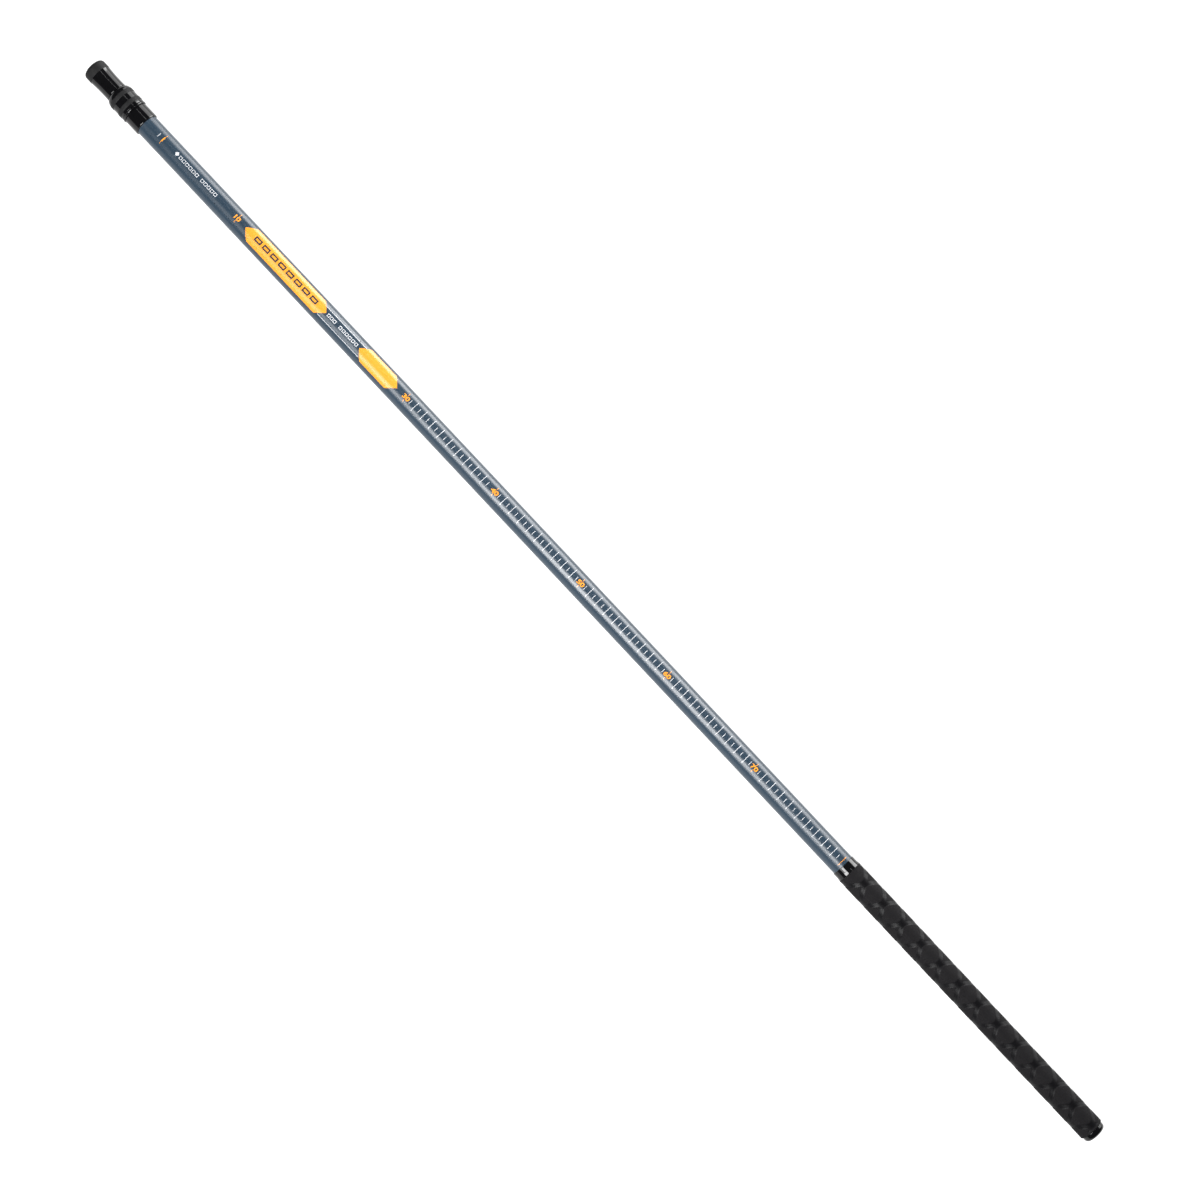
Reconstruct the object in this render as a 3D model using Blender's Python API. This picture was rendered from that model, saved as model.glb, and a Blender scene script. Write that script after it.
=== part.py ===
"""Telescopic landing net handle, stored collapsed.

Three round sections slide inside one another. The handle lies along X with the net socket at -X and
the butt at +X, and it rests on z = 0. The origin is under the middle of its length.
Stations and radii below are millimetres: stations run from the tip end, radii from the handle's axis.
"""
import math

import bmesh
import bpy

for old in list(bpy.data.objects):
    bpy.data.objects.remove(old, do_unlink=True)

MM = 0.001
SIDES = 24
GAP = 0.3

# Overall sizes
LENGTH = 1166.9
EXTENDED = 3000.0
TRAVEL = (EXTENDED - LENGTH) / 2

# Tip fitting
BAND_END = 8.7
BAND_RADIUS = 9.8
BAND_CORNER = 2.9
BAND_CHAMFER = 0.3
SEAT_RADIUS = 6.9
SEAT_THICK = 1.8
SOCKET_RADIUS = 4.45
SOCKET_MOUTH = 4.95
SOCKET_END = 17.0
POCKET_END = SOCKET_END + 0.5
INSERT_RADIUS = 6.2
SPIGOT_RADIUS = 8.0
BARREL_END = 29.2
BARREL_RADIUS = 9.1
BARREL_CHAMFER = 0.5
FLARE_LENGTH = 10.0
FLARE_RISE = 0.6

# Collar on the middle section
COLLAR_FRONT = BARREL_END + GAP
COLLAR_END = 48.8
COLLAR_RADIUS = 11.15
COLLAR_NOSE = 9.6
COLLAR_CHAMFER = 3.4
COLLAR_LIP = 2.1
RIDGE_STATIONS = {"front": 33.65, "rear": 42.9}
RIDGE_WIDTH = 3.8
RIDGE_RADIUS = 11.5
RIDGE_DEPTH = 1.0
RIDGE_ROUND = 0.25
BUFFER_END = 51.0
BUFFER_RADIUS = 11.45

# Outer section
MOUTH = BUFFER_END + GAP
SLEEVE_END = 65.6
SLEEVE_RADIUS = 10.6
SLEEVE_ROUND = 0.7
OUTER_MOUTH_RADIUS = 9.45
OUTER_BUTT_RADIUS = 9.62
OUTER_BORE = 8.15
GRIP_COLLAR_FRONT = 879.9
GRIP_COLLAR_END = 887.3
GRIP_COLLAR_NOSE = 10.35
GRIP_COLLAR_ROUND = 0.4
GRIP_FRONT_RADIUS = 10.65
GRIP_BUTT_RADIUS = 10.45
GRIP_FRONT_ROUND = 0.4
GRIP_END = 1161.6
GRIP_BUTT_ROUND = 0.45

# Butt cap
CAP_RADIUS = 9.5
CAP_ROUND = 3.2
CAP_STEM_RADIUS = 6.0
CAP_STEM_FRONT = GRIP_END - 16.2
INSERT_FRONT = GRIP_END - 18.2
INSERT_END = GRIP_END - 1.8
SEAL_RADIUS = 7.1
SEAL_SECTION = 0.75
PAD_FRONT = GRIP_END - 21.2
PAD_RADIUS = 5.6
PAD_CHAMFER = 0.8
PEG_RADIUS = 2.7
PEG_LENGTH = 11.0

# Middle and tip sections
MIDDLE_RADIUS = 7.0
MIDDLE_BORE = 6.1
MIDDLE_FOOT = GRIP_END - 25.2
TIP_RADIUS = 5.0
TIP_BORE = 4.2
TIP_FOOT = GRIP_END - 28.2
BUSH_LENGTH = 80.0
BUSH_FRONT = MOUTH + 1.0
MIDDLE_MOUTH = COLLAR_FRONT + COLLAR_LIP + GAP

AXIS_HEIGHT = RIDGE_RADIUS * math.cos(math.pi / SIDES)


def material(name, colour, roughness, metallic=0.0):
    """Principled material with one base colour."""
    mat = bpy.data.materials.new(name)
    mat.use_nodes = True
    shader = mat.node_tree.nodes["Principled BSDF"]
    shader.inputs["Base Color"].default_value = (*colour, 1.0)
    shader.inputs["Roughness"].default_value = roughness
    shader.inputs["Metallic"].default_value = metallic
    return mat


def arc(station, radius, size, start, end, steps=3):
    """Points on a quarter or half round about (station, radius), angles in degrees."""
    angles = [math.radians(start + (end - start) * i / steps) for i in range(steps + 1)]
    return [(station + size * math.cos(a), radius + size * math.sin(a)) for a in angles]


def ring(front, back, bore, radius, front_round=0.0, back_round=0.0):
    """Profile of a plain ring, with its outer corners rounded where a size is given."""
    profile = [(front, bore)]
    if front_round:
        profile += arc(front + front_round, radius - front_round, front_round, 180, 90)
    else:
        profile.append((front, radius))
    if back_round:
        profile += arc(back - back_round, radius - back_round, back_round, 90, 0)
    else:
        profile.append((back, radius))
    return profile + [(back, bore)]


def section(name):
    """Empty on the handle's axis that carries the pieces of one sliding section."""
    empty = bpy.data.objects.new(name, None)
    empty.location = (-LENGTH / 2 * MM, 0.0, AXIS_HEIGHT * MM)
    empty.empty_display_size = 0.03
    bpy.context.collection.objects.link(empty)
    return empty


def turned(name, profile, mat, carrier, solid=False):
    """Piece turned about the handle's axis, standing half a side round so that a flat faces down.

    A solid piece has an open profile that starts and ends on the axis.
    """
    bm = bmesh.new()
    start = math.pi / SIDES - math.pi / 2
    front = profile[0][0]
    verts = []
    for station, radius in profile:
        y = radius * MM * math.cos(start)
        z = radius * MM * math.sin(start)
        verts.append(bm.verts.new(((station - front) * MM, y, z)))
    edges = [bm.edges.new(pair) for pair in zip(verts, verts[1:])]
    if not solid:
        edges.append(bm.edges.new((verts[-1], verts[0])))
    bmesh.ops.spin(
        bm, geom=verts + edges, cent=(0, 0, 0), axis=(1, 0, 0),
        angle=2 * math.pi, steps=SIDES, use_merge=True)
    bmesh.ops.remove_doubles(bm, verts=bm.verts, dist=1e-6)
    bmesh.ops.recalc_face_normals(bm, faces=bm.faces)
    mesh = bpy.data.meshes.new(name)
    bm.to_mesh(mesh)
    bm.free()
    mesh.shade_smooth()
    mesh.set_sharp_from_angle(angle=math.radians(32))
    mesh.materials.append(mat)
    obj = bpy.data.objects.new(name, mesh)
    bpy.context.collection.objects.link(obj)
    obj.parent = carrier
    obj.location = (front * MM, 0.0, 0.0)
    return obj


TUBE_BLUE = material("tube_blue", (0.045, 0.083, 0.125), 0.28)
GLOSS_BLACK = material("gloss_black", (0.008, 0.008, 0.009), 0.18)
MATTE_RUBBER = material("matte_rubber", (0.028, 0.028, 0.030), 0.75)
GRIP_RUBBER = material("grip_rubber", (0.022, 0.021, 0.022), 0.62)
INNER_GREY = material("inner_grey", (0.030, 0.034, 0.040), 0.40)
BUSH_NYLON = material("bush_nylon", (0.30, 0.30, 0.29), 0.50)
BRASS = material("brass", (0.62, 0.43, 0.16), 0.30, 1.0)


def outer_tube(carrier):
    """Printed tube, slightly thicker towards the butt."""
    profile = [
        (MOUTH, OUTER_BORE), (MOUTH, OUTER_MOUTH_RADIUS),
        (GRIP_COLLAR_FRONT, OUTER_BUTT_RADIUS), (GRIP_END, OUTER_BUTT_RADIUS),
        (GRIP_END, OUTER_BORE)]
    turned("outer_tube", profile, TUBE_BLUE, carrier)


def mouth_sleeve(carrier):
    """Lacquered binding that stops the tube's mouth from splitting."""
    bore = OUTER_MOUTH_RADIUS + GAP
    profile = ring(MOUTH, SLEEVE_END, bore, SLEEVE_RADIUS, SLEEVE_ROUND, SLEEVE_ROUND)
    turned("mouth_sleeve", profile, GLOSS_BLACK, carrier)


def outer_mouth_bush(carrier):
    """Bush inside the mouth that the middle tube slides through."""
    profile = ring(
        BUSH_FRONT, BUSH_FRONT + BUSH_LENGTH, MIDDLE_RADIUS + GAP, OUTER_BORE - GAP)
    turned("outer_mouth_bush", profile, BUSH_NYLON, carrier)


def grip_collar(carrier):
    """Ring that covers the front edge of the grip, rounded in front and flared to the grip."""
    bore = OUTER_BUTT_RADIUS + GAP
    size = GRIP_COLLAR_ROUND
    profile = [(GRIP_COLLAR_FRONT, bore)]
    profile += arc(GRIP_COLLAR_FRONT + size, GRIP_COLLAR_NOSE - size, size, 180, 90, 2)
    profile += arc(GRIP_COLLAR_END - size, GRIP_FRONT_RADIUS - size, size, 90, 0, 2)
    profile.append((GRIP_COLLAR_END, bore))
    turned("grip_collar", profile, GLOSS_BLACK, carrier)


def grip_sleeve(carrier):
    """Shrunk rubber grip, slightly thinner towards the butt and rounded over its end."""
    bore = OUTER_BUTT_RADIUS + GAP
    front = GRIP_COLLAR_END + GAP
    size = GRIP_FRONT_ROUND
    profile = [(front, bore)]
    profile += arc(front + size, GRIP_FRONT_RADIUS - size, size, 180, 90)
    size = GRIP_BUTT_ROUND
    profile += arc(GRIP_END - size, GRIP_BUTT_RADIUS - size, size, 90, 0)
    profile.append((GRIP_END, bore))
    turned("grip_sleeve", profile, GRIP_RUBBER, carrier)


def butt_insert(carrier):
    """Threaded liner glued in the tube's butt end."""
    profile = ring(INSERT_FRONT, INSERT_END, CAP_STEM_RADIUS + GAP, OUTER_BORE - GAP)
    turned("butt_insert", profile, GLOSS_BLACK, carrier)


def butt_cap(carrier):
    """Domed cap with a threaded stem, drilled for the peg of the shock pad."""
    hole = PEG_RADIUS + GAP
    flange_front = GRIP_END + GAP
    profile = [
        (CAP_STEM_FRONT + PEG_LENGTH + GAP, 0.0), (CAP_STEM_FRONT + PEG_LENGTH + GAP, hole),
        (CAP_STEM_FRONT, hole), (CAP_STEM_FRONT, CAP_STEM_RADIUS),
        (flange_front, CAP_STEM_RADIUS), (flange_front, CAP_RADIUS)]
    profile += arc(LENGTH - CAP_ROUND, CAP_RADIUS - CAP_ROUND, CAP_ROUND, 90, 0, 4)
    profile.append((LENGTH, 0.0))
    turned("butt_cap", profile, GLOSS_BLACK, carrier, solid=True)


def cap_seal(carrier):
    """Seal ring squeezed between the cap's flange and the liner."""
    centre = GRIP_END - SEAL_SECTION
    profile = arc(centre, SEAL_RADIUS, SEAL_SECTION, 180, -180, 8)[:-1]
    turned("cap_seal", profile, MATTE_RUBBER, carrier)


def cap_pad(carrier):
    """Shock pad with a peg pressed into the cap's stem."""
    peg_front = CAP_STEM_FRONT - GAP
    profile = [(PAD_FRONT, 0.0), (PAD_FRONT, PAD_RADIUS - PAD_CHAMFER)]
    profile.append((PAD_FRONT + PAD_CHAMFER, PAD_RADIUS))
    profile += [(peg_front, PAD_RADIUS), (peg_front, PEG_RADIUS)]
    profile += [(peg_front + PEG_LENGTH, PEG_RADIUS), (peg_front + PEG_LENGTH, 0.0)]
    turned("cap_pad", profile, MATTE_RUBBER, carrier, solid=True)


def middle_tube(carrier):
    """Tube of the middle section."""
    profile = ring(MIDDLE_MOUTH, MIDDLE_FOOT, MIDDLE_BORE, MIDDLE_RADIUS)
    turned("middle_tube", profile, INNER_GREY, carrier)


def middle_collar(carrier):
    """End collar over the middle tube, chamfered in front and grooved for two grip rings."""
    lip = TIP_RADIUS + GAP
    bore = MIDDLE_RADIUS + GAP
    groove = COLLAR_RADIUS - RIDGE_DEPTH
    profile = [(COLLAR_FRONT, lip), (COLLAR_FRONT, COLLAR_NOSE)]
    profile.append((COLLAR_FRONT + COLLAR_CHAMFER, COLLAR_RADIUS))
    for station in RIDGE_STATIONS.values():
        front = station - GAP
        back = station + RIDGE_WIDTH + GAP
        profile += [(front, COLLAR_RADIUS), (front, groove), (back, groove), (back, COLLAR_RADIUS)]
    profile += [(COLLAR_END, COLLAR_RADIUS), (COLLAR_END, bore)]
    profile += [(COLLAR_FRONT + COLLAR_LIP, bore), (COLLAR_FRONT + COLLAR_LIP, lip)]
    turned("middle_collar", profile, GLOSS_BLACK, carrier)


def collar_ring(place, carrier):
    """Rubber grip ring seated in one of the collar's grooves."""
    front = RIDGE_STATIONS[place]
    bore = COLLAR_RADIUS - RIDGE_DEPTH + GAP
    profile = ring(front, front + RIDGE_WIDTH, bore, RIDGE_RADIUS, RIDGE_ROUND, RIDGE_ROUND)
    turned(f"collar_ring_{place}", profile, MATTE_RUBBER, carrier)


def buffer_ring(carrier):
    """Round-edged ring between the collar and the outer tube's mouth."""
    front = COLLAR_END + GAP
    size = (BUFFER_END - front) / 2
    bore = MIDDLE_RADIUS + GAP
    profile = [(front, bore)] + arc(front + size, BUFFER_RADIUS - size, size, 180, 0, 6)
    profile.append((BUFFER_END, bore))
    turned("buffer_ring", profile, GLOSS_BLACK, carrier)


def middle_mouth_bush(carrier):
    """Bush inside the middle tube's mouth that the tip tube slides through."""
    profile = ring(
        MIDDLE_MOUTH, MIDDLE_MOUTH + BUSH_LENGTH, TIP_RADIUS + GAP, MIDDLE_BORE - GAP)
    turned("middle_mouth_bush", profile, BUSH_NYLON, carrier)


def middle_guide_bush(carrier):
    """Bush round the middle tube's foot, which meets the outer mouth bush at full travel."""
    front = BUSH_FRONT + BUSH_LENGTH + TRAVEL + GAP
    profile = ring(front, MIDDLE_FOOT, MIDDLE_RADIUS + GAP, OUTER_BORE - GAP)
    turned("middle_guide_bush", profile, BUSH_NYLON, carrier)


def tip_tube(carrier):
    """Tube of the tip section."""
    profile = ring(POCKET_END + 0.5, TIP_FOOT, TIP_BORE, TIP_RADIUS)
    turned("tip_tube", profile, INNER_GREY, carrier)


def tip_guide_bush(carrier):
    """Bush round the tip tube's foot, which meets the middle mouth bush at full travel."""
    front = MIDDLE_MOUTH + BUSH_LENGTH + TRAVEL + GAP
    profile = ring(front, TIP_FOOT, TIP_RADIUS + GAP, MIDDLE_BORE - GAP)
    turned("tip_guide_bush", profile, BUSH_NYLON, carrier)


def tip_ferrule(carrier):
    """Barrel over the tip tube: a spigot for the end band, a concave flare, then a plain barrel."""
    front = SEAT_THICK + GAP
    shoulder = BAND_END + GAP
    pocket = INSERT_RADIUS + GAP
    profile = [(front, pocket), (front, SPIGOT_RADIUS), (shoulder, SPIGOT_RADIUS)]
    for i in range(5):
        rise = FLARE_RISE * (1 - i / 4) ** 2
        profile.append((shoulder + FLARE_LENGTH * i / 4, BARREL_RADIUS + rise))
    chamfer = BARREL_CHAMFER
    profile += [(BARREL_END - chamfer, BARREL_RADIUS), (BARREL_END, BARREL_RADIUS - chamfer)]
    profile += [(BARREL_END, TIP_RADIUS + GAP), (POCKET_END, TIP_RADIUS + GAP)]
    profile.append((POCKET_END, pocket))
    turned("tip_ferrule", profile, GLOSS_BLACK, carrier)


def tip_end_band(carrier):
    """Rubber band round the end, wrapped over the rim and rounded."""
    wide = SPIGOT_RADIUS + GAP
    lip = SEAT_RADIUS + GAP
    profile = [(0.0, lip)]
    profile += arc(BAND_CORNER, BAND_RADIUS - BAND_CORNER, BAND_CORNER, 180, 90, 4)[1:]
    edge = BAND_CHAMFER
    profile += [(BAND_END - edge, BAND_RADIUS), (BAND_END, BAND_RADIUS - edge), (BAND_END, wide)]
    profile += [(SEAT_THICK, wide), (SEAT_THICK, lip)]
    turned("tip_end_band", profile, MATTE_RUBBER, carrier)


def threaded_insert(carrier):
    """Brass socket for the net head's stud, with a flange that the head seats on."""
    profile = [
        (0.0, SOCKET_MOUTH), (0.0, SEAT_RADIUS), (SEAT_THICK, SEAT_RADIUS),
        (SEAT_THICK, INSERT_RADIUS), (SOCKET_END, INSERT_RADIUS), (SOCKET_END, SOCKET_RADIUS),
        (SOCKET_MOUTH - SOCKET_RADIUS, SOCKET_RADIUS)]
    turned("threaded_insert", profile, BRASS, carrier)


def build_outer():
    carrier = section("outer_section")
    outer_tube(carrier)
    mouth_sleeve(carrier)
    outer_mouth_bush(carrier)
    grip_collar(carrier)
    grip_sleeve(carrier)
    butt_insert(carrier)


def build_cap():
    carrier = section("cap_section")
    butt_cap(carrier)
    cap_seal(carrier)
    cap_pad(carrier)


def build_middle():
    carrier = section("middle_section")
    middle_tube(carrier)
    middle_collar(carrier)
    for place in RIDGE_STATIONS:
        collar_ring(place, carrier)
    buffer_ring(carrier)
    middle_mouth_bush(carrier)
    middle_guide_bush(carrier)


def build_tip():
    carrier = section("tip_section")
    tip_tube(carrier)
    tip_guide_bush(carrier)
    tip_ferrule(carrier)
    tip_end_band(carrier)
    threaded_insert(carrier)


build_outer()
build_cap()
build_middle()
build_tip()
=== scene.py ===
"""Looks for the telescopic landing net handle.

Stations and radii are millimetres: stations run along the handle from its tip end, radii from its axis.
"""
import math

import bmesh
import bpy
from mathutils import Matrix, Vector


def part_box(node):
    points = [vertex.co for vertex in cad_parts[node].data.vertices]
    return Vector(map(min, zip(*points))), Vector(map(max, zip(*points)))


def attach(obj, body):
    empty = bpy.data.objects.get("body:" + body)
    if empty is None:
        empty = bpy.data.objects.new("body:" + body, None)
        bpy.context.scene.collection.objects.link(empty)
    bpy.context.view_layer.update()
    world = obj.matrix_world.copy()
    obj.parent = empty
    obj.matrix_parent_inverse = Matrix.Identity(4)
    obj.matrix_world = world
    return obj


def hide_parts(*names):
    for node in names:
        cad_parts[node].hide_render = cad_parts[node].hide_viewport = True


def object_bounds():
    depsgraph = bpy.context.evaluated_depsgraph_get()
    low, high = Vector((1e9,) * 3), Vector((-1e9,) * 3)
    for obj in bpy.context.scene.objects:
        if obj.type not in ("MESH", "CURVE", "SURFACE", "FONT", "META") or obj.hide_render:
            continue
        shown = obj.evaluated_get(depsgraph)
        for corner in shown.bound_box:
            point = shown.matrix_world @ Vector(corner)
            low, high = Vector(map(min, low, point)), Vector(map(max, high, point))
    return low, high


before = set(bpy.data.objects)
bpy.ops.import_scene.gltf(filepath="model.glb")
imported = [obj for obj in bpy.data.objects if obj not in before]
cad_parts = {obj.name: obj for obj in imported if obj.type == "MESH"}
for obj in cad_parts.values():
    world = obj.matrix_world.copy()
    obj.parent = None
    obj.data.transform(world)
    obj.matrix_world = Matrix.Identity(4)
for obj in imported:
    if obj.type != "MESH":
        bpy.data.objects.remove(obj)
cad_box = [list(corner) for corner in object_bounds()]

MM = 0.001
TIP_X = cad_box[0][0]
LENGTH = (cad_box[1][0] - TIP_X) / MM
AXIS_Z = (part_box("outer_tube")[0][2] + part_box("outer_tube")[1][2]) / 2


def station(node, end):
    """Station of a node's tip-side end (0) or butt-side end (1)."""
    return (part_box(node)[end][0] - TIP_X) / MM


# ---------------------------------------------------------------- materials

class Surface:
    """Principled material with a few procedural helpers in the object's own coordinates."""

    def __init__(self, name, colour, roughness, metallic=0.0, specular=0.5):
        self.material = bpy.data.materials.new(name)
        self.material.use_nodes = True
        self.tree = self.material.node_tree
        self.shader = self.tree.nodes["Principled BSDF"]
        self.shader.inputs["Base Color"].default_value = (*colour, 1)
        self.shader.inputs["Roughness"].default_value = roughness
        self.shader.inputs["Metallic"].default_value = metallic
        self.shader.inputs["Specular IOR Level"].default_value = specular
        self.place = self.node("ShaderNodeTexCoord").outputs["Object"]
        self.normal = None

    def node(self, kind, **settings):
        made = self.tree.nodes.new(kind)
        for key, value in settings.items():
            setattr(made, key, value)
        return made

    def link(self, source, target):
        self.tree.links.new(source, target)

    def noise(self, scale, detail=3.0, rough=0.55, stretch=(1, 1, 1)):
        mapping = self.node("ShaderNodeMapping")
        mapping.inputs["Scale"].default_value = stretch
        self.link(self.place, mapping.inputs["Vector"])
        made = self.node("ShaderNodeTexNoise")
        made.inputs["Scale"].default_value = scale
        made.inputs["Detail"].default_value = detail
        made.inputs["Roughness"].default_value = rough
        self.link(mapping.outputs["Vector"], made.inputs["Vector"])
        return made.outputs["Fac"]

    def cells(self, scale):
        """Distance to the nearest cell centre."""
        made = self.node("ShaderNodeTexVoronoi")
        made.inputs["Scale"].default_value = scale
        self.link(self.place, made.inputs["Vector"])
        return made.outputs["Distance"]

    def attribute(self, name):
        return self.node("ShaderNodeAttribute", attribute_name=name).outputs["Fac"]

    def maths(self, operation, first, second=0.0):
        """One Math node; each of its two terms is a number or a socket."""
        made = self.node("ShaderNodeMath", operation=operation)
        for socket, value in zip(made.inputs, (first, second)):
            if isinstance(value, (int, float)):
                socket.default_value = value
            else:
                self.link(value, socket)
        return made.outputs["Value"]

    def turn(self):
        """Angle round the handle's axis, in radians."""
        parts = self.node("ShaderNodeSeparateXYZ")
        self.link(self.place, parts.inputs["Vector"])
        raised = self.maths("SUBTRACT", parts.outputs["Z"], AXIS_Z)
        return parts.outputs["X"], self.maths("ARCTAN2", parts.outputs["Y"], raised)

    def spiral(self, lead, starts):
        """Wave from 0 to 1 that winds round the handle, lead in metres a turn."""
        along, angle = self.turn()
        phase = self.maths("MULTIPLY", along, 2 * math.pi * starts / lead)
        phase = self.maths("ADD", phase, self.maths("MULTIPLY", angle, float(starts)))
        return self.maths("MULTIPLY_ADD", self.maths("SINE", phase), 0.5)

    def spread(self, source, least, most, start=0.0, stop=1.0):
        """Maps the source's range start..stop onto least..most, held at both ends."""
        made = self.node("ShaderNodeMapRange")
        made.inputs["From Min"].default_value = start
        made.inputs["From Max"].default_value = stop
        made.inputs["To Min"].default_value = least
        made.inputs["To Max"].default_value = most
        self.link(source, made.inputs["Value"])
        return made.outputs["Result"]

    def mixed(self, factor, first, second):
        """Colour mix; each colour is a tuple or a socket."""
        made = self.node("ShaderNodeMix", data_type="RGBA")
        self.link(factor, made.inputs["Factor"])
        for socket, value in zip((made.inputs[6], made.inputs[7]), (first, second)):
            if isinstance(value, tuple):
                socket.default_value = (*value, 1)
            else:
                self.link(value, socket)
        return made.outputs[2]

    def colour(self, source):
        self.link(source, self.shader.inputs["Base Color"])

    def rough(self, source):
        self.link(source, self.shader.inputs["Roughness"])

    def bump(self, height, depth, strength=1.0):
        """Adds a bump of the given depth in metres on top of any bump before it."""
        made = self.node("ShaderNodeBump")
        made.inputs["Strength"].default_value = strength
        made.inputs["Distance"].default_value = depth
        self.link(height, made.inputs["Height"])
        if self.normal:
            self.link(self.normal, made.inputs["Normal"])
        self.normal = made.outputs["Normal"]
        self.link(self.normal, self.shader.inputs["Normal"])


def tube_lacquer():
    """Satin blue-grey lacquer with fine flake and faint long streaks."""
    s = Surface("tube_lacquer", (0.017, 0.032, 0.050), 0.26, specular=0.385)
    flake = s.spread(s.cells(5200.0), 0.0, 1.0, 0.15, 0.75)
    streak = s.noise(140.0, 4.0, 0.6, (0.05, 1, 1))
    base = s.mixed(flake, (0.0177, 0.0315, 0.0477), (0.0123, 0.0238, 0.037))
    s.colour(s.mixed(s.spread(streak, 0.0, 0.35, 0.4, 0.75), base, (0.0192, 0.0346, 0.0523)))
    s.rough(s.spread(s.noise(420.0, 3.0, 0.55, (0.06, 1, 1)), 0.28, 0.32, 0.3, 0.7))
    s.bump(s.noise(60.0, 2.0, 0.5, (0.1, 1, 1)), 0.00001, 0.15)
    s.bump(s.cells(5200.0), 0.000001, 0.15)
    return s.material


def gloss_black():
    """Glossy black moulding with a slight ripple and handling haze."""
    s = Surface("gloss_black", (0.003, 0.003, 0.003), 0.10, specular=0.32)
    haze = s.noise(310.0, 4.0, 0.6)
    s.colour(s.mixed(haze, (0.0015, 0.0015, 0.0018), (0.003, 0.003, 0.0034)))
    s.rough(s.spread(haze, 0.05, 0.09, 0.3, 0.7))
    s.bump(s.noise(130.0, 2.0, 0.5, (0.2, 1, 1)), 0.00001, 0.15)
    return s.material


def epoxy_black():
    """Thick black lacquer over a thread binding, whose turns show faintly."""
    s = Surface("epoxy_black", (0.003, 0.003, 0.003), 0.08, specular=0.32)
    wraps = s.spiral(0.00045, 1)
    s.colour(s.mixed(wraps, (0.0015, 0.0015, 0.0018), (0.003, 0.003, 0.0034)))
    s.rough(s.spread(s.noise(260.0, 3.0), 0.04, 0.08, 0.3, 0.7))
    s.bump(wraps, 0.000002, 0.1)
    s.bump(s.noise(110.0, 2.0, 0.5, (0.2, 1, 1)), 0.00001, 0.15)
    return s.material


def matte_rubber():
    """Dull rubber with a fine sandy grain."""
    s = Surface("matte_rubber", (0.009, 0.009, 0.0095), 0.62, specular=0.13)
    grain = s.noise(2600.0, 4.0, 0.65)
    patch = s.noise(240.0, 3.0)
    base = s.mixed(grain, (0.0046, 0.0046, 0.005), (0.010, 0.010, 0.0104))
    s.colour(s.mixed(s.spread(patch, 0.0, 0.5, 0.4, 0.8), base, (0.013, 0.0129, 0.013)))
    s.rough(s.spread(grain, 0.48, 0.66, 0.3, 0.7))
    s.bump(grain, 0.00006, 0.6)
    return s.material


def grip_rubber():
    """Shrunk grip: sandy raised lozenges, smoother channels between them, with painted shade darkening
    the channels.
    """
    s = Surface("grip_rubber", (0.006, 0.006, 0.0065), 0.6, specular=0.108)
    channel = s.attribute("channel")
    grain = s.noise(3000.0, 4.0, 0.7)
    scuff = s.noise(150.0, 4.0, 0.6)
    raised = s.mixed(grain, (0.0032, 0.0029, 0.0034), (0.0063, 0.0058, 0.0065))
    raised = s.mixed(s.spread(scuff, 0.0, 0.45, 0.45, 0.8), raised, (0.0088, 0.0083, 0.0088))
    # channels get a darker colour than the lozenges: painted shade in the recesses
    s.colour(s.mixed(channel, raised, (0.0022, 0.0021, 0.0026)))
    sandy = s.spread(grain, 0.70, 0.86, 0.3, 0.7)
    smooth = s.maths("MULTIPLY", channel, -0.38)
    s.rough(s.maths("ADD", sandy, smooth))
    fade = s.maths("SUBTRACT", 1.0, s.maths("MULTIPLY", channel, 0.85))
    s.bump(s.maths("MULTIPLY", grain, fade), 0.00007, 0.6)
    return s.material


def inner_composite():
    """Wound resin composite with a faint spiral of fibre tape."""
    s = Surface("inner_composite", (0.030, 0.034, 0.040), 0.36)
    tape = s.spread(s.spiral(0.0125, 1), 0.0, 1.0, 0.1, 0.9)
    fibre = s.noise(900.0, 4.0, 0.7, (0.05, 1, 1))
    base = s.mixed(tape, (0.024, 0.028, 0.034), (0.034, 0.039, 0.046))
    s.colour(s.mixed(s.spread(fibre, 0.0, 0.6, 0.4, 0.8), base, (0.050, 0.055, 0.062)))
    s.rough(s.spread(fibre, 0.28, 0.44, 0.3, 0.7))
    s.bump(tape, 0.00002, 0.4)
    s.bump(fibre, 0.00001, 0.5)
    return s.material


def bush_nylon():
    """Off-white nylon with a waxy mottle and turning marks."""
    s = Surface("bush_nylon", (0.30, 0.30, 0.29), 0.48)
    mottle = s.noise(380.0, 3.0)
    s.colour(s.mixed(mottle, (0.25, 0.25, 0.24), (0.36, 0.36, 0.345)))
    s.rough(s.spread(mottle, 0.40, 0.56, 0.3, 0.7))
    s.bump(s.spiral(0.0006, 1), 0.00001, 0.5)
    return s.material


def brass():
    """Machined brass with fine turning lines and a little tarnish."""
    s = Surface("brass", (0.62, 0.43, 0.16), 0.28, metallic=1.0)
    tarnish = s.noise(420.0, 4.0, 0.65)
    lines = s.noise(5200.0, 2.0, 0.5, (1, 0.02, 0.02))
    base = s.mixed(s.spread(tarnish, 0.0, 1.0, 0.4, 0.75), (0.70, 0.50, 0.20), (0.46, 0.31, 0.12))
    s.colour(base)
    s.rough(s.spread(tarnish, 0.20, 0.40, 0.3, 0.7))
    s.bump(lines, 0.000008, 0.6)
    return s.material


def ink(name, colour, worn, roughness=0.32):
    """Printed ink with slight unevenness."""
    s = Surface(name, colour, roughness, specular=0.385)
    patch = s.noise(1500.0, 4.0, 0.6)
    s.colour(s.mixed(s.spread(patch, 0.0, 1.0, 0.35, 0.85), colour, worn))
    s.rough(s.spread(patch, roughness - 0.06, roughness + 0.08, 0.3, 0.7))
    s.bump(patch, 0.000001, 0.3)
    return s.material


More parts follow.
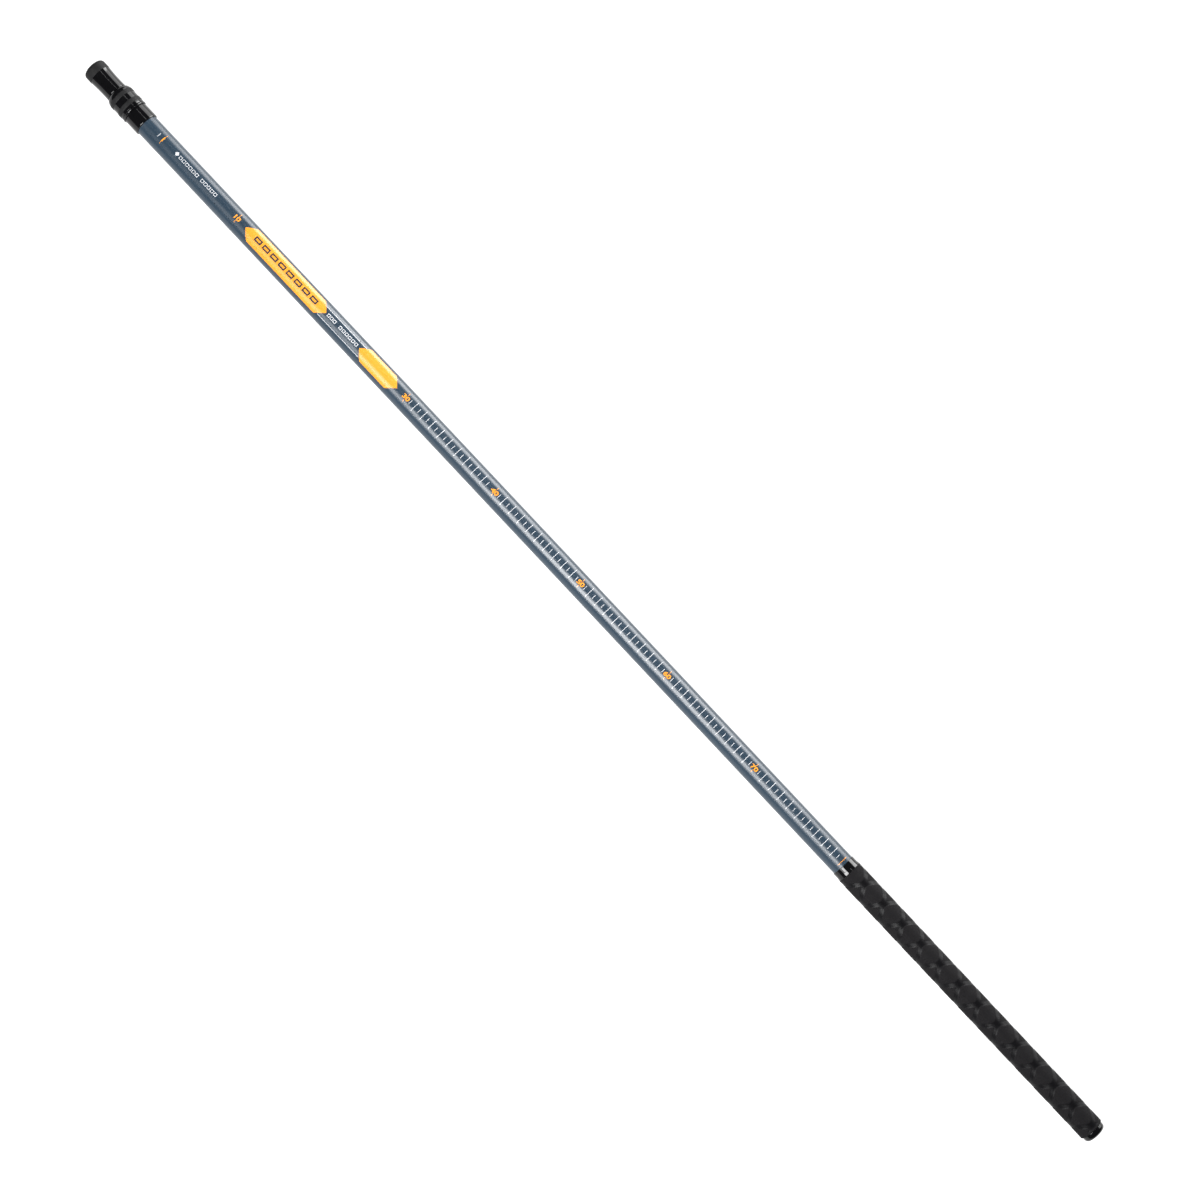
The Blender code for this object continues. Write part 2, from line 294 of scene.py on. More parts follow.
TUBE = tube_lacquer()
GLOSS = gloss_black()
EPOXY = epoxy_black()
RUBBER = matte_rubber()
GRIP = grip_rubber()
INNER = inner_composite()
NYLON = bush_nylon()
BRASS = brass()
YELLOW = ink("ink_yellow", (0.62, 0.235, 0.021), (0.57, 0.213, 0.0195), 0.26)
WHITE = ink("ink_white", (0.49, 0.495, 0.51), (0.39, 0.40, 0.415))
DARK = ink("ink_dark", (0.017, 0.020, 0.0215), (0.026, 0.029, 0.031))


# ---------------------------------------------------------------- turned pieces

def arc(x, radius, size, start, end, steps=8):
    """Points on an arc about (x, radius), angles in degrees from the butt direction outwards."""
    angles = [math.radians(start + (end - start) * i / steps) for i in range(steps + 1)]
    return [(x + size * math.cos(a), radius + size * math.sin(a)) for a in angles]


def corner(x, radius, size, side, steps=6):
    """Rounded outer corner of a piece whose front or back face is at x."""
    if side == "front":
        return arc(x + size, radius - size, size, 180, 90, steps)
    return arc(x - size, radius - size, size, 90, 0, steps)


def run(start, end, radius, step, shape=None):
    """Points from start to end at a radius, or at the radius that shape gives, evenly spaced."""
    count = max(1, round(abs(end - start) / step))
    xs = [start + (end - start) * i / count for i in range(count + 1)]
    return [(x, shape(x) if shape else radius) for x in xs]


def ring(front, back, bore, radius, front_round=0.15, back_round=0.15):
    """Closed profile of a plain ring with rounded outer corners."""
    profile = [(front, bore)]
    profile += corner(front, radius, front_round, "front")
    profile += corner(back, radius, back_round, "back")
    return profile + [(back, bore)]


def finish_mesh(name, bm, material, sharp=38.0):
    """Turns a bmesh into a smooth-shaded object, with creases kept sharp."""
    mesh = bpy.data.meshes.new(name)
    bm.to_mesh(mesh)
    bm.free()
    mesh.shade_smooth()
    mesh.set_sharp_from_angle(angle=math.radians(sharp))
    mesh.materials.append(material)
    piece = bpy.data.objects.new(name, mesh)
    bpy.context.collection.objects.link(piece)
    return piece


def declare(piece, body, slot, *nodes):
    """Attaches a piece to the body it rides on and hides the nodes it stands in for; slot is not used.
    """
    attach(piece, body)
    if nodes:
        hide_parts(*nodes)


def turned(node, body, material, slot, profile, sides=144, relief=None, solid=False):
    """Fine piece in place of a CAD node, turned from a profile; relief(x, angle, radius) moves it in
    or out and returns the new radius with a channel value that the material can read."""
    bm = bmesh.new()
    channel = bm.verts.layers.float.new("channel") if relief else None
    rows = []
    for x, radius in profile:
        row = []
        for j in range(sides):
            angle = 2 * math.pi * j / sides
            r, mark = relief(x, angle, radius) if relief else (radius, 0.0)
            y = r * MM * math.sin(angle)
            z = AXIS_Z + r * MM * math.cos(angle)
            vert = bm.verts.new((TIP_X + x * MM, y, z))
            if relief:
                vert[channel] = mark
            row.append(vert)
        rows.append(row)
    pairs = list(zip(rows, rows[1:]))
    if not solid:
        pairs.append((rows[-1], rows[0]))
    for first, second in pairs:
        for j in range(sides):
            k = (j + 1) % sides
            bm.faces.new((first[j], first[k], second[k], second[j]))
    if solid:
        bmesh.ops.remove_doubles(bm, verts=rows[0] + rows[-1], dist=1e-7)
    bmesh.ops.recalc_face_normals(bm, faces=bm.faces)
    piece = finish_mesh(f"look_{node}", bm, material)
    declare(piece, body, slot, node)
    return piece


def thread(pitch, depth, front, back):
    """Relief of a screw thread cut into stations front to back, faded out at its ends."""
    def cut(x, angle, radius):
        if not front <= x <= back:
            return radius, 0.0
        wave = abs(((x / pitch - angle / (2 * math.pi)) % 1.0) - 0.5) * 2
        fade = min(1.0, (x - front) / pitch, (back - x) / pitch)
        return radius + depth * fade * (min(1.0, max(0.0, wave * 1.5 - 0.25)) - 0.5), 0.0
    return cut


# Outer section
MOUTH = station("outer_tube", 0)
GRIP_FRONT = station("grip_collar", 0)
GRIP_BACK = station("grip_sleeve", 1)
TUBE_MOUTH_RADIUS = 9.45
TUBE_BUTT_RADIUS = 9.62
TUBE_BORE = 8.15
TUBE_STEP = 30.0
LINER_RADIUS = 8.1
LINER_BORE = 6.45
SLEEVE_RADIUS = 10.62
SLEEVE_FRONT_ROUND = 0.6
SLEEVE_BACK_ROUND = 0.95
SLEEVE_SETBACK = 0.4
MOUTH_BUSH_BORE = 7.3
CAP_PITCH = 1.5


def tube_radius(x):
    """Radius of the outer tube, which swells slightly towards the butt."""
    share = min(1.0, max(0.0, (x - MOUTH) / (GRIP_FRONT - MOUTH)))
    return TUBE_MOUTH_RADIUS + (TUBE_BUTT_RADIUS - TUBE_MOUTH_RADIUS) * share


def outer_section():
    """Tube with its mouth sleeve, bush, collar, grip and the threaded liner in its butt."""
    end = station("outer_tube", 1)
    profile = [(MOUTH, TUBE_BORE)]
    profile += run(MOUTH + 0.1, end, 0, TUBE_STEP, tube_radius)
    profile += [(end, TUBE_BORE)]
    turned("outer_tube", "outer", TUBE, "tube_blue", profile)

    front, back = station("mouth_sleeve", 0), station("mouth_sleeve", 1) - SLEEVE_SETBACK
    profile = [(front, TUBE_MOUTH_RADIUS + 0.05)]
    profile += corner(front, SLEEVE_RADIUS, SLEEVE_FRONT_ROUND, "front", 8)
    profile += corner(back, SLEEVE_RADIUS, SLEEVE_BACK_ROUND, "back", 12)
    profile += [(back, TUBE_MOUTH_RADIUS + 0.02)]
    turned("mouth_sleeve", "outer", EPOXY, "gloss_black", profile)

    front, back = station("outer_mouth_bush", 0), station("outer_mouth_bush", 1)
    profile = ring(front, back, MOUTH_BUSH_BORE, LINER_RADIUS)
    turned("outer_mouth_bush", "outer", NYLON, "bush_nylon", profile, 96)
    collar()
    grip()

    front, back = station("butt_insert", 0), station("butt_insert", 1)
    profile = run(back, front, LINER_BORE, 0.15)
    profile += [(front, LINER_RADIUS), (back, LINER_RADIUS)]
    turned("butt_insert", "outer", GLOSS, "gloss_black", profile, 72,
           thread(CAP_PITCH, 0.45, front, back - 0.8))


COLLAR_RADIUS = 10.2
COLLAR_PLAIN = 5.0
COLLAR_RISE = 0.42
COLLAR_BACK_RADIUS = 10.64


def collar():
    """Glossy ring in front of the grip: plain at first, then flared up to the grip."""
    front, back = GRIP_FRONT, station("grip_collar", 1) + 0.25
    flare = front + COLLAR_PLAIN

    def flared(x):
        return COLLAR_RADIUS + COLLAR_RISE * (x - flare) / (back - flare)

    profile = [(front, TUBE_BUTT_RADIUS + 0.02)]
    profile += corner(front, COLLAR_RADIUS, 0.5, "front", 8)
    profile += run(front + 1.0, flare, COLLAR_RADIUS, 0.6)
    profile += run(flare + 0.4, back - 0.5, 0, 0.4, flared)
    profile += arc(back - 0.3, COLLAR_BACK_RADIUS - 0.3, 0.3, 85, 0, 5)
    profile += [(back, TUBE_BUTT_RADIUS + 0.02)]
    turned("grip_collar", "outer", EPOXY, "gloss_black", profile)


GRIP_FRONT_RADIUS = 10.66
GRIP_TAPER = 0.2
GRIP_RADIUS = 10.55
CROSS_PITCH = 21.34
CROSS_FIRST = 14.1
CROSS_ANGLE = math.radians(1.2)
CHANNEL_HALF = 1.85
CHANNEL_DEPTH = 0.15
CHANNEL_EDGE = 0.5


def smooth_least(values, blend):
    """Smooth minimum of distances, so that crossing channels meet in rounded corners."""
    total = sum(math.exp(-v / blend) for v in values)
    return -blend * math.log(total)


def grip_radius(x):
    """Radius over the raised lozenges, which falls slightly towards the butt."""
    share = (x - GRIP_FRONT) / (GRIP_BACK - GRIP_FRONT)
    return GRIP_FRONT_RADIUS - GRIP_TAPER * min(1.0, max(0.0, share))


def grip():
    """Rubber grip, with crossed helical channels between raised lozenges."""
    front, back = station("grip_sleeve", 0) - 0.05, GRIP_BACK
    lead = 2 * CROSS_PITCH
    around = 2 * math.pi * GRIP_RADIUS
    lean = math.sin(math.atan(around / lead))
    origin = station("grip_collar", 1) + CROSS_FIRST
    half = CROSS_PITCH / 2

    def channel_distance(x, angle):
        """Distance in millimetres from the nearest channel's edge, negative inside it."""
        turn = (angle - CROSS_ANGLE) / (2 * math.pi)
        gaps = []
        for hand in (1, -1):
            offset = (x - origin + hand * turn * lead + half) % CROSS_PITCH - half
            gaps.append(abs(offset) * lean - CHANNEL_HALF)
        row = round(turn * 4)
        arcwise = abs(turn - row / 4) * around
        shift = half if row % 2 else 0.0
        along = abs((x - origin - shift + half) % CROSS_PITCH - half)
        gaps.append(max(along - 2.5, arcwise - 2.6))
        return smooth_least(gaps, 0.35)

    def relief(x, angle, radius):
        if radius < GRIP_RADIUS - 0.5:
            return radius, 0.0
        inside = min(1.0, max(0.0, 0.5 - channel_distance(x, angle) / CHANNEL_EDGE))
        inside = inside * inside * (3 - 2 * inside)
        edge = min(1.0, (x - front) / 2.0, (back - x) / 2.5)
        return radius - CHANNEL_DEPTH * inside * max(0.0, edge), inside * max(0.0, edge)

    profile = [(front, TUBE_BUTT_RADIUS + 0.03)]
    profile += corner(front, grip_radius(front), 0.35, "front", 5)
    profile += run(front + 0.8, back - 1.1, 0, 0.5, grip_radius)
    profile += corner(back, grip_radius(back), 0.8, "back", 10)
    profile += [(back, TUBE_BUTT_RADIUS + 0.02)]
    turned("grip_sleeve", "outer", GRIP, "grip_rubber", profile, 168, relief)


CAP_RADIUS = 9.5
CAP_ROUND = 3.0
STEM_RADIUS = 5.85
STEM_NECK = 5.5
STEM_HOLE_RADIUS = 3.0
STEM_HOLE_DEPTH = 11.3
SEAL_RADIUS = 6.9
SEAL_SIZE = 0.9
PAD_RADIUS = 4.4
PAD_ROUND = 1.2


def cap_section():
    """Screw-in butt cap with its seal ring and the shock pad on its stem."""
    stem_front = station("butt_cap", 0)
    flange = GRIP_BACK + 0.05
    hole_end = stem_front + STEM_HOLE_DEPTH
    profile = [(hole_end, 0.0), (hole_end, STEM_HOLE_RADIUS)]
    profile += [(stem_front, STEM_HOLE_RADIUS), (stem_front, STEM_RADIUS - 0.25)]
    profile += run(stem_front + 0.5, flange - 1.8, STEM_RADIUS, 0.15)
    profile += [(flange - 1.6, STEM_NECK), (flange, STEM_NECK)]
    profile += corner(flange, CAP_RADIUS, 0.3, "front", 5)
    profile += corner(LENGTH, CAP_RADIUS, CAP_ROUND, "back", 16)
    profile += [(LENGTH, CAP_ROUND), (LENGTH, 0.0)]
    turned("butt_cap", "cap", GLOSS, "gloss_black", profile, 144,
           thread(CAP_PITCH, 0.5, stem_front + 0.6, flange - 2.0), solid=True)

    middle = (station("cap_seal", 0) + station("cap_seal", 1)) / 2
    profile = arc(middle, SEAL_RADIUS, SEAL_SIZE, 180, -180, 20)[:-1]
    turned("cap_seal", "cap", RUBBER, "matte_rubber", profile, 96)

    front = station("cap_pad", 0)
    plug_radius, plug_end = STEM_HOLE_RADIUS - 0.1, hole_end - 0.3
    profile = [(front, 0.0)] + arc(front + PAD_ROUND, PAD_RADIUS, PAD_ROUND, 180, 90, 6)
    profile += [(stem_front - 0.1, PAD_RADIUS + PAD_ROUND), (stem_front - 0.05, plug_radius)]
    profile += [(plug_end, plug_radius), (plug_end, 0.0)]
    turned("cap_pad", "cap", RUBBER, "matte_rubber", profile, 96, solid=True)


FIT = 0.04
MIDDLE_RADIUS = 7.0
MIDDLE_BORE = 6.1
MIDDLE_BUSH_BORE = 5.3
MIDDLE_GUIDE_RADIUS = 7.85
END_COLLAR_RADIUS = 11.15
END_COLLAR_NOSE_RADIUS = 9.55
END_COLLAR_NOSE = 4.0
END_COLLAR_WALL = 2.3
GROOVE_RADIUS = 10.2
RIDGE_RADIUS = 11.4


def middle_section():
    """Middle tube with its bushes and end collar."""
    front, back = station("middle_tube", 0), station("middle_tube", 1)
    profile = ring(front, back, MIDDLE_BORE, MIDDLE_RADIUS, 0.2, 0.4)
    turned("middle_tube", "middle", INNER, "inner_grey", profile, 120)
    front, back = station("middle_mouth_bush", 0), station("middle_mouth_bush", 1)
    profile = ring(front, back, MIDDLE_BUSH_BORE, MIDDLE_BORE - FIT)
    turned("middle_mouth_bush", "middle", NYLON, "bush_nylon", profile, 96)
    front, back = station("middle_guide_bush", 0), station("middle_guide_bush", 1)
    profile = ring(front, back, MIDDLE_RADIUS + FIT, MIDDLE_GUIDE_RADIUS)
    turned("middle_guide_bush", "middle", NYLON, "bush_nylon", profile, 96)
    end_collar()


def end_collar():
    """Collar at the middle section's tip end, with its two grip rings and the buffer behind it."""
    front, back = station("middle_collar", 0), station("middle_collar", 1) + 0.28
    inside = MIDDLE_RADIUS + FIT
    wall = front + END_COLLAR_WALL

    def nose(x):
        share = (x - front) / END_COLLAR_NOSE
        rise = END_COLLAR_RADIUS - END_COLLAR_NOSE_RADIUS
        return END_COLLAR_NOSE_RADIUS + rise * math.sin(share * math.pi / 2) ** 0.8

    profile = [(front, MIDDLE_BUSH_BORE)]
    profile += arc(front + 0.4, END_COLLAR_NOSE_RADIUS - 0.4, 0.4, 180, 120, 5)
    profile += run(front + 0.8, front + END_COLLAR_NOSE, 0, 0.4, nose)
    for place in ("front", "rear"):
        start, stop = (station(f"collar_ring_{place}", end) for end in (0, 1))
        profile += [(start - 0.02, END_COLLAR_RADIUS), (start - 0.02, GROOVE_RADIUS)]
        profile += [(stop + 0.02, GROOVE_RADIUS), (stop + 0.02, END_COLLAR_RADIUS)]
    profile += corner(back, END_COLLAR_RADIUS, 0.25, "back", 5)
    profile += [(back, inside), (wall, inside), (wall, MIDDLE_BUSH_BORE)]
    turned("middle_collar", "middle", GLOSS, "gloss_black", profile)

    for place in ("front", "rear"):
        node = f"collar_ring_{place}"
        profile = ring(
            station(node, 0), station(node, 1), GROOVE_RADIUS + 0.03, RIDGE_RADIUS, 0.35, 0.35)
        turned(node, "middle", RUBBER, "matte_rubber", profile)

    front, back = station("buffer_ring", 0), station("buffer_ring", 1) + 0.1
    half = (back - front) / 2
    profile = [(front, inside)]
    profile += arc(front + half, RIDGE_RADIUS - half, half, 180, 0, 16)
    profile += [(back, inside)]
    turned("buffer_ring", "middle", GLOSS, "gloss_black", profile)


TIP_RADIUS = 5.0
TIP_BORE = 4.2
TIP_GUIDE_RADIUS = 5.8
BARREL_RADIUS = 9.08
BARREL_FLARE, BARREL_FLARE_RISE = 12.0, 0.58
BARREL_SWELL, BARREL_SWELL_RISE = 6.0, 0.14
BARREL_END_RADIUS = 9.2
BARREL_SEAT_RADIUS = 8.0
BARREL_FLOOR = 17.6
BAND_RADIUS = 9.8
BAND_ROUND = 2.85
SOCKET_RADIUS = 6.2
SOCKET_FLANGE_RADIUS = 6.9
STUD_RADIUS = 4.6
STUD_PITCH = 1.27
STUD_THREAD_DEPTH = 0.62


def tip_section():
    """Tip tube with its guide bush and the end fitting."""
    front, back = station("tip_tube", 0), station("tip_tube", 1)
    profile = ring(front, back, TIP_BORE, TIP_RADIUS, 0.2, 0.4)
    turned("tip_tube", "tip", INNER, "inner_grey", profile, 96)
    inside = TIP_RADIUS + FIT
    front, back = station("tip_guide_bush", 0), station("tip_guide_bush", 1)
    turned("tip_guide_bush", "tip", NYLON, "bush_nylon",
           ring(front, back, inside, TIP_GUIDE_RADIUS), 96)

    shoulder = station("tip_end_band", 1) + 0.03
    seat = station("tip_ferrule", 0) - 0.2
    barrel_end = station("tip_ferrule", 1)

    def barrel(x):
        share = min(1.0, (x - shoulder) / BARREL_FLARE)
        swell = max(0.0, (x - barrel_end + BARREL_SWELL) / BARREL_SWELL)
        return BARREL_RADIUS + BARREL_FLARE_RISE * (1 - share) ** 2 + BARREL_SWELL_RISE * swell ** 2

    hole = SOCKET_RADIUS + FIT
    profile = [(seat, hole), (seat, BARREL_SEAT_RADIUS)]
    profile += [(shoulder, BARREL_SEAT_RADIUS), (shoulder, barrel(shoulder) - 0.1)]
    profile += run(shoulder + 0.1, barrel_end - 0.9, 0, 0.6, barrel)
    profile += corner(barrel_end, BARREL_END_RADIUS, 0.6, "back")
    profile += [(barrel_end, inside), (BARREL_FLOOR, inside), (BARREL_FLOOR, hole)]
    turned("tip_ferrule", "tip", GLOSS, "gloss_black", profile)
    tip_socket(seat - 0.05)


def tip_socket(seat):
    """Soft end ring and the brass socket inside it, which both stop just short of the ferrule's face."""
    back = station("tip_end_band", 1)
    profile = [(0.0, SOCKET_FLANGE_RADIUS + 0.1)]
    profile += corner(0.0, BAND_RADIUS, BAND_ROUND, "front", 14)[1:]
    profile += corner(back, BAND_RADIUS, 0.3, "back", 5)
    profile += [(back, BARREL_SEAT_RADIUS + 0.03), (seat, BARREL_SEAT_RADIUS + 0.03)]
    profile += [(seat, SOCKET_FLANGE_RADIUS + 0.07)]
    turned("tip_end_band", "tip", RUBBER, "matte_rubber", profile)

    front, back = station("threaded_insert", 0), station("threaded_insert", 1)
    profile = [(front, STUD_RADIUS + 0.5)]
    profile += corner(front, SOCKET_FLANGE_RADIUS, 0.2, "front", 4)
    profile += [(seat, SOCKET_FLANGE_RADIUS), (seat, SOCKET_RADIUS)]
    profile += [(back, SOCKET_RADIUS), (back, STUD_RADIUS)]
    profile += run(back - 0.2, front + 0.7, STUD_RADIUS, 0.11)
    turned("threaded_insert", "tip", BRASS, "brass", profile, 96,
           thread(STUD_PITCH, -STUD_THREAD_DEPTH, front + 0.5, back))


# ---------------------------------------------------------------- printed scale

SCALE_ZERO = 76.7
PRINT_LIFT = 0.035
PRINT_SINK = 0.02
WRAP_STEP = 0.45


def flat_shape(outline):
    """Flat filled outline; across is stations, up is millimetres round the tube from its top."""
    bm = bmesh.new()
    bm.faces.new([bm.verts.new((x, y, 0)) for x, y in outline])
    return bm


def wrapped(name, shapes, material, lift=PRINT_LIFT):
    """Thin ink film laid round the outer tube from flat shapes."""
    whole = bmesh.new()
    for bm in shapes:
        tops = [v.co.y for v in bm.verts]
        cuts = int((max(tops) - min(tops)) / WRAP_STEP)
        for i in range(1, cuts + 1):
            height = min(tops) + (max(tops) - min(tops)) * i / (cuts + 1)
            bmesh.ops.bisect_plane(
                bm, geom=bm.verts[:] + bm.edges[:] + bm.faces[:], dist=1e-6,
                plane_co=(0, height, 0), plane_no=(0, 1, 0))
        part = bpy.data.meshes.new("part")
        bm.to_mesh(part)
        bm.free()
        whole.from_mesh(part)
        bpy.data.meshes.remove(part)
    bmesh.ops.recalc_face_normals(whole, faces=whole.faces)
    if whole.faces[0].normal.z < 0:
        bmesh.ops.reverse_faces(whole, faces=whole.faces)
    sheet = whole.faces[:]
    made = bmesh.ops.extrude_face_region(whole, geom=sheet)["geom"]
    raised = {v for v in made if isinstance(v, bmesh.types.BMVert)}
    bmesh.ops.reverse_faces(whole, faces=sheet)
    for v in whole.verts:
        radius = tube_radius(v.co.x)
        angle = v.co.y / radius
        lifted = radius + (lift if v in raised else -PRINT_SINK)
        v.co = Vector((
            TIP_X + v.co.x * MM, lifted * MM * math.sin(angle),
            AXIS_Z + lifted * MM * math.cos(angle)))
    bmesh.ops.recalc_face_normals(whole, faces=whole.faces)
    piece = finish_mesh(name, whole, material)
    declare(piece, "outer", "tube_blue")


def bar(x, bottom, top, width=0.42):
    """Upright bar."""
    left, right = x - width / 2, x + width / 2
    return flat_shape([(left, bottom), (right, bottom), (right, top), (left, top)])


def bar_along(front, back, height, width=0.4):
    """Thin line along the handle."""
    bottom, top = height - width / 2, height + width / 2
    return flat_shape([(front, bottom), (back, bottom), (back, top), (front, top)])


def numeral(text, x, centre, height=4.0, widen=1.36):
    """Number centred on a station."""
    curve = bpy.data.curves.new("numeral", "FONT")
    curve.body = text
    curve.align_x = "CENTER"
    curve.align_y = "CENTER"
    curve.resolution_u = 6
    curve.offset = 0.036
    holder = bpy.data.objects.new("numeral", curve)
    bpy.context.collection.objects.link(holder)
    bpy.context.view_layer.update()
    mesh = bpy.data.meshes.new_from_object(holder.evaluated_get(bpy.context.evaluated_depsgraph_get()))
    bpy.data.objects.remove(holder)
    bpy.data.curves.remove(curve)
    bm = bmesh.new()
    bm.from_mesh(mesh)
    bpy.data.meshes.remove(mesh)
    ys = [v.co.y for v in bm.verts]
    xs = [v.co.x for v in bm.verts]
    scale = height / (max(ys) - min(ys))
    middle = ((max(xs) + min(xs)) / 2, (max(ys) + min(ys)) / 2)
    for v in bm.verts:
        v.co = Vector((
            x + (v.co.x - middle[0]) * scale * widen, centre + (v.co.y - middle[1]) * scale, 0))
    bmesh.ops.remove_doubles(bm, verts=bm.verts, dist=1e-4)
    return bm


def panel(front, back, slope, bottom, top):
    """Long six-sided label with pointed ends."""
    middle = (bottom + top) / 2
    return flat_shape([
        (front, middle), (front + slope, bottom), (back - slope, bottom),
        (back, middle), (back - slope, top), (front + slope, top)])


def scale_station(cm):
    """Station of a scale mark; the marks before 40 cm are printed apart and sit nearer the tip."""
    if cm >= 40:
        shift = 0.0
    elif cm >= 30:
        shift = -3.6
    else:
        shift = -1.0 - 0.17 * cm
    return SCALE_ZERO + cm * 10 + shift


TALL_MARK = (-4.8, 4.75)
SHORT_MARK = (-2.1, 1.8)
NUMBER_CENTRE = -0.3
NUMBER_HALF = 2.15
NUMBERED = (1, 10, 30, 40, 50, 60, 70)


def printed_scale():
    """Half-centimetre ticks, with a number or a yellow mark where the scale has one."""
    white = [bar(scale_station(0.5), *SHORT_MARK)]
    for half_cm in range(61, 160):
        if half_cm % 20:
            mark = SHORT_MARK if half_cm % 2 else TALL_MARK
            white.append(bar(scale_station(half_cm / 2), *mark))
    wrapped("scale_ticks", white, WHITE)

    numbers = []
    for cm in NUMBERED:
        x = scale_station(cm)
        numbers.append(numeral(str(cm), x, NUMBER_CENTRE))
        numbers.append(bar(x, TALL_MARK[0], NUMBER_CENTRE - NUMBER_HALF))
        numbers.append(bar(x, NUMBER_CENTRE + NUMBER_HALF, TALL_MARK[1]))
    numbers.append(bar(scale_station(80), *TALL_MARK))
    wrapped("scale_numbers", numbers, YELLOW)


def open_block(x, bottom, top, width, stroke):
    """Upright rectangle drawn as an outline of the given stroke."""
    left, right = x - width / 2, x + width / 2
    bm = bmesh.new()
    outer, inner = (
        [bm.verts.new((across, up, 0)) for across, up in (
            (left + inset, bottom + inset), (right - inset, bottom + inset),
            (right - inset, top - inset), (left + inset, top - inset))]
        for inset in (0, stroke))
    for i in range(4):
        j = (i + 1) % 4
        bm.faces.new((outer[i], outer[j], inner[j], inner[i]))
    return bm


def row_of_blocks(front, back, count, bottom, top, width, stroke):
    """Open blocks side by side, centred on equal shares of a span of stations."""
    pitch = (back - front) / count
    return [
        open_block(front + pitch * (i + 0.5), bottom, top, width, stroke) for i in range(count)]


PANEL_SPAN = (-8.3, 7.1)
FRONT_PANEL = (183.8, 279.4, 8.0)
REAR_PANEL = (318.1, 362.6, 7.6)
WORD_SPAN = (-1.85, 0.95)
EDGE_LINES = (274.5, 323.0)
EDGE_LINE_HEIGHTS = (-6.3, 3.8)


def printed_labels():
    """Pointed panels, edge lines, and rows of plain open blocks where the real handle has words."""
    panels = [panel(*ends, *PANEL_SPAN) for ends in (FRONT_PANEL, REAR_PANEL)]
    wrapped("label_panels", panels, YELLOW)

    blocks = row_of_blocks(194.3, 269.5, 8, -2.7, 1.6, 7.2, 1.3)
    wrapped("label_blocks", blocks, DARK, PRINT_LIFT + 0.025)

    bottom, top = WORD_SPAN
    marks = [panel(100.1, 104.0, 1.9, bottom - 0.3, top + 0.9)]
    for front, back, count in ((104.6, 127.6, 6), (130.4, 149.4, 5)):
        marks += row_of_blocks(front, back, count, bottom, top, 2.9, 0.42)
    for front, back, count in ((280.6, 290.8, 3), (294.1, 316.3, 6)):
        marks += row_of_blocks(front, back, count, bottom, top, 2.7, 0.52)
    marks += [bar_along(*EDGE_LINES, height) for height in EDGE_LINE_HEIGHTS]
    wrapped("label_marks", marks, WHITE)


outer_section()
cap_section()
middle_section()
tip_section()
printed_scale()
printed_labels()


# ---------------------------------------------------------------- floor, lights, camera

def floor():
    """Pale floor that glows evenly, so that it stays clean white under soft light."""
    bm = bmesh.new()
    bmesh.ops.create_grid(bm, x_segments=1, y_segments=1, size=6.0)
    s = Surface("floor_paint", (0.2, 0.2, 0.2), 0.9, specular=0.1)
    patch = s.noise(3.0, 2.0)
    s.colour(s.mixed(patch, (0.19, 0.19, 0.19), (0.21, 0.21, 0.21)))
    s.shader.inputs["Emission Color"].default_value = (1, 1, 1, 1)
    s.link(s.spread(patch, 0.92, 0.96), s.shader.inputs["Emission Strength"])
    plane = finish_mesh("floor", bm, s.material)


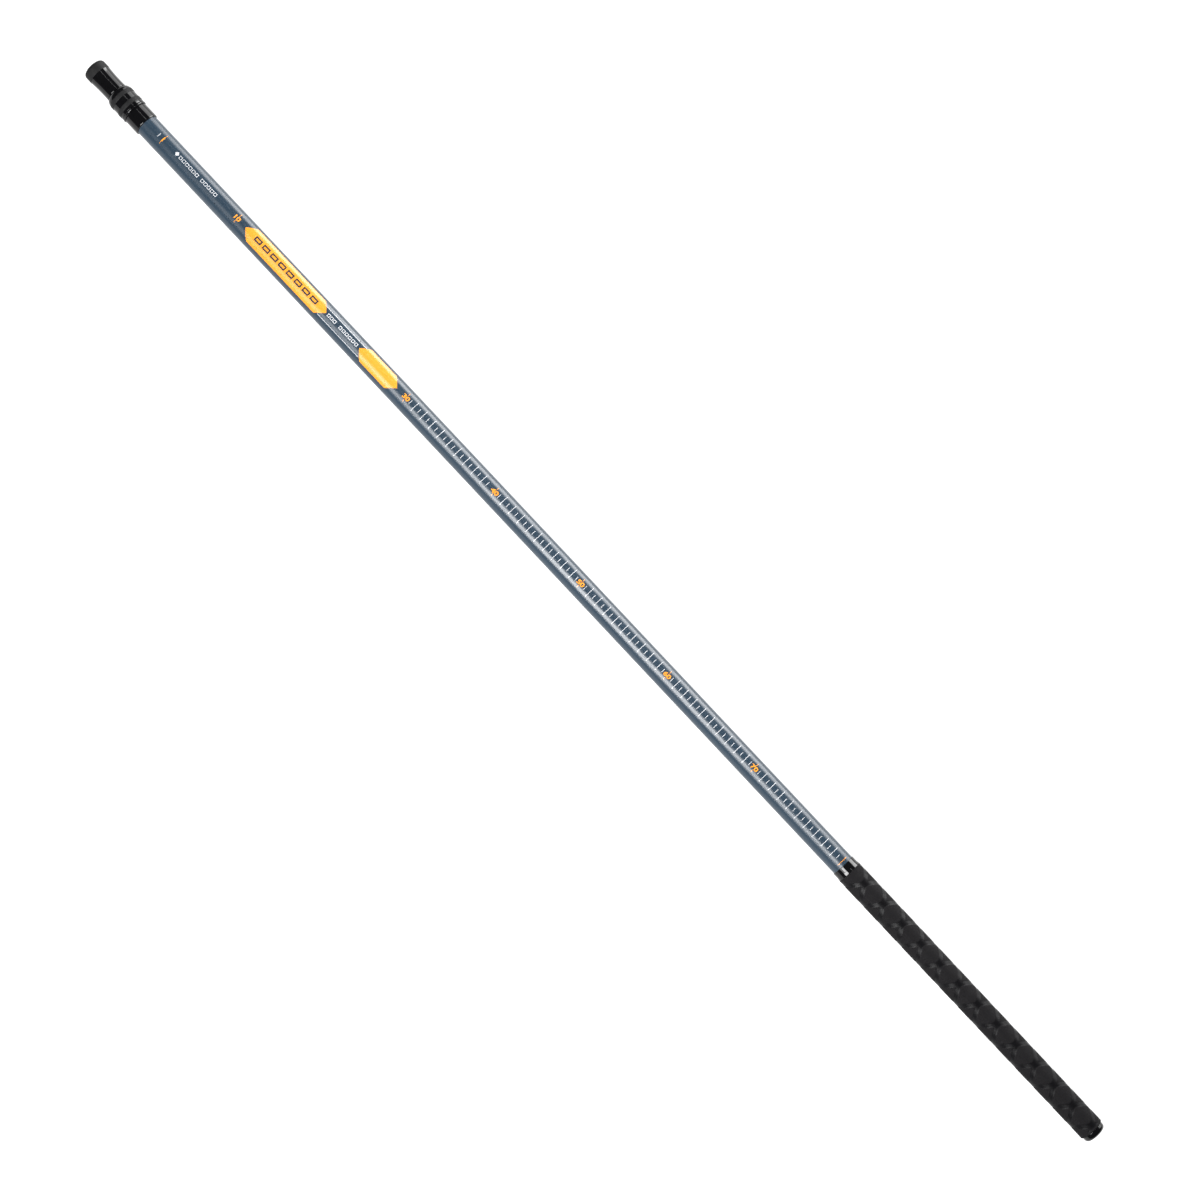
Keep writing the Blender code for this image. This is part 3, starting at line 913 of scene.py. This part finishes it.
def softbox(name, x, lean, distance, size, radiance):
    """Area light facing the handle; lean is its angle from straight up, positive towards +Y."""
    data = bpy.data.lights.new(name, "AREA")
    data.shape = "RECTANGLE"
    data.size, data.size_y = size
    data.energy = radiance * 4 * size[0] * size[1]
    lamp = bpy.data.objects.new(name, data)
    a = math.radians(lean)
    towards = Vector((0, math.sin(a), math.cos(a)))
    across = Vector((1, 0, 0))
    up = towards.cross(across)
    turn = Matrix((across, up, towards)).transposed().to_4x4()
    centre = Vector((TIP_X + x * MM, 0, AXIS_Z)) + towards * distance
    lamp.matrix_world = Matrix.Translation(centre) @ turn
    lamp.visible_camera = False
    bpy.context.collection.objects.link(lamp)


def studio():
    """Soft boxes on both sides, a thin strip overhead and a faint surround."""
    softbox("side_box_core", 330, 75, 1.6, (1.4, 1.05), 7.8)
    softbox("side_box_wide", 230, 74, 1.65, (2.7, 1.2), 3.4)
    softbox("front_box_core", 490, -40, 1.6, (0.62, 0.95), 16.25)
    softbox("front_box_wide", 520, -40, 1.65, (1.4, 1.0), 5.2)
    softbox("strip", 100, 17, 1.5, (1.4, 0.03), 9.75)
    softbox("collar_box", 1010, -34, 1.55, (0.2, 0.5), 15.0)
    world = bpy.data.worlds.new("studio")
    world.use_nodes = True
    world.node_tree.nodes["Background"].inputs["Color"].default_value = (1, 1, 1, 1)
    world.node_tree.nodes["Background"].inputs["Strength"].default_value = 0.06
    scene = bpy.context.scene
    scene.world = world
    scene.view_settings.view_transform = "Standard"


def camera():
    """Camera nearly above the handle, with the tip at the upper left of the frame."""
    foot, aim = 717.55, 596.25
    distance = 1.979
    lean = math.radians(-12.0)
    roll = math.radians(-46.76)
    sideways = 0.0037
    towards = Vector((0, math.sin(lean), math.cos(lean)))
    shift = Vector((0, math.cos(lean), -math.sin(lean))) * sideways
    eye = Vector((TIP_X + foot * MM, 0, AXIS_Z)) + towards * distance + shift
    target = Vector((TIP_X + aim * MM, 0, AXIS_Z)) + shift
    forward = (target - eye).normalized()
    along = Vector((1, 0, 0))
    along = (along - forward * along.dot(forward)).normalized()
    across = (-forward).cross(along)
    right = along * math.cos(roll) - across * math.sin(roll)
    up = along * math.sin(roll) + across * math.cos(roll)
    data = bpy.data.cameras.new("camera")
    data.sensor_width = 36.0
    data.lens = 74.81
    data.clip_start, data.clip_end = 0.05, 50.0
    eye_object = bpy.data.objects.new("camera", data)
    turn = Matrix((right, up, -forward)).transposed().to_4x4()
    eye_object.matrix_world = Matrix.Translation(eye) @ turn
    bpy.context.collection.objects.link(eye_object)
    bpy.context.scene.camera = eye_object


floor()
studio()
camera()
